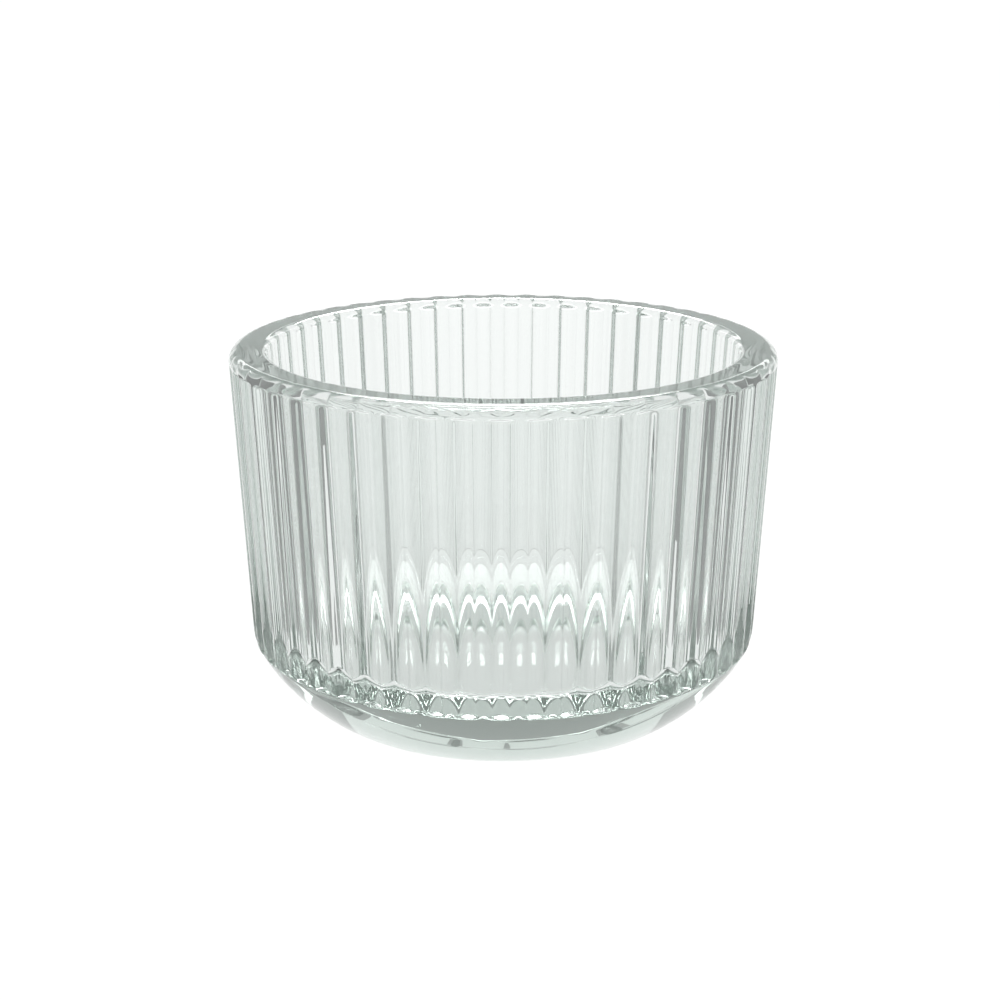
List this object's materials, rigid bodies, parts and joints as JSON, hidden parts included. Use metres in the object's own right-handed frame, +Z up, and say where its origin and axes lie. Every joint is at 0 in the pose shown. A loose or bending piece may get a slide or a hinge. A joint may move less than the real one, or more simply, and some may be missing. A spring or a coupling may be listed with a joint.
{
  "type": "tealight holder",
  "caption": "Heavy clear pressed-glass bowl for a tealight, with a ribbed straight wall, a plain rounded rim, a thick base and a smooth foot.",
  "frame": {"origin": "centre of the circle that the holder stands on, at table height", "axes": "+Z up along the bowl's axis; -Y is the front, at the middle of a groove, and +Y the back, at the middle of a rib, both within 2 degrees"},
  "size_m": [0.09, 0.09, 0.061],
  "materials": {
    "glass": "clear, fire-polished"
  },
  "bodies": {
    "root": {"glass_holder": "glass"}
  },
  "joints": []
}
